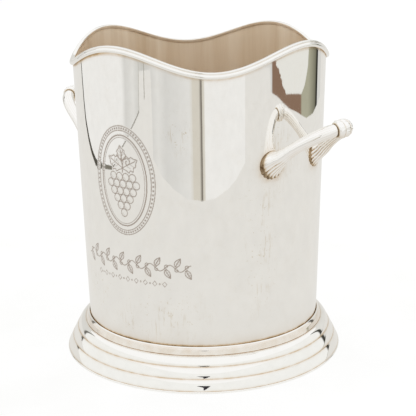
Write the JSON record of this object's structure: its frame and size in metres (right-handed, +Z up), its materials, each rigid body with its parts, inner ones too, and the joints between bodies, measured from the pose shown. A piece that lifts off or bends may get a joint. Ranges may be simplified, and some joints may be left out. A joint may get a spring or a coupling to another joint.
{
  "type": "champagne bucket",
  "caption": "Tapered silver-plated bucket with a wavy moulded rim, a stepped spreading foot and fixed stirrup handles, for icing a bottle of wine.",
  "frame": {"origin": "middle of the ring the bucket stands on, at table height", "axes": "+Z up, X through the handles, -Y out of the engraved side"},
  "size_m": [0.2732, 0.2154, 0.2445],
  "materials": {
    "silver_sheet": "polished silver plate, lightly scratched, an engraved oval on the front",
    "silver_floor": "dull tarnished silver plate",
    "silver_rim": "polished silver plate, brown tarnish along the joint",
    "silver_foot": "polished silver plate, brown tarnish in the creases",
    "silver_handle": "polished cast silver plate, brown tarnish in the flutes"
  },
  "bodies": {
    "root": {"body_wall": "silver_sheet", "body_floor": "silver_floor", "rim_wire": "silver_rim", "stepped_foot": "silver_foot", "foot_base_wire": "silver_foot", "handle_right_front_arm": "silver_handle", "handle_right_rear_arm": "silver_handle", "handle_left_front_arm": "silver_handle", "handle_left_rear_arm": "silver_handle", "handle_right_knop": "silver_handle", "handle_left_knop": "silver_handle"}
  },
  "joints": []
}
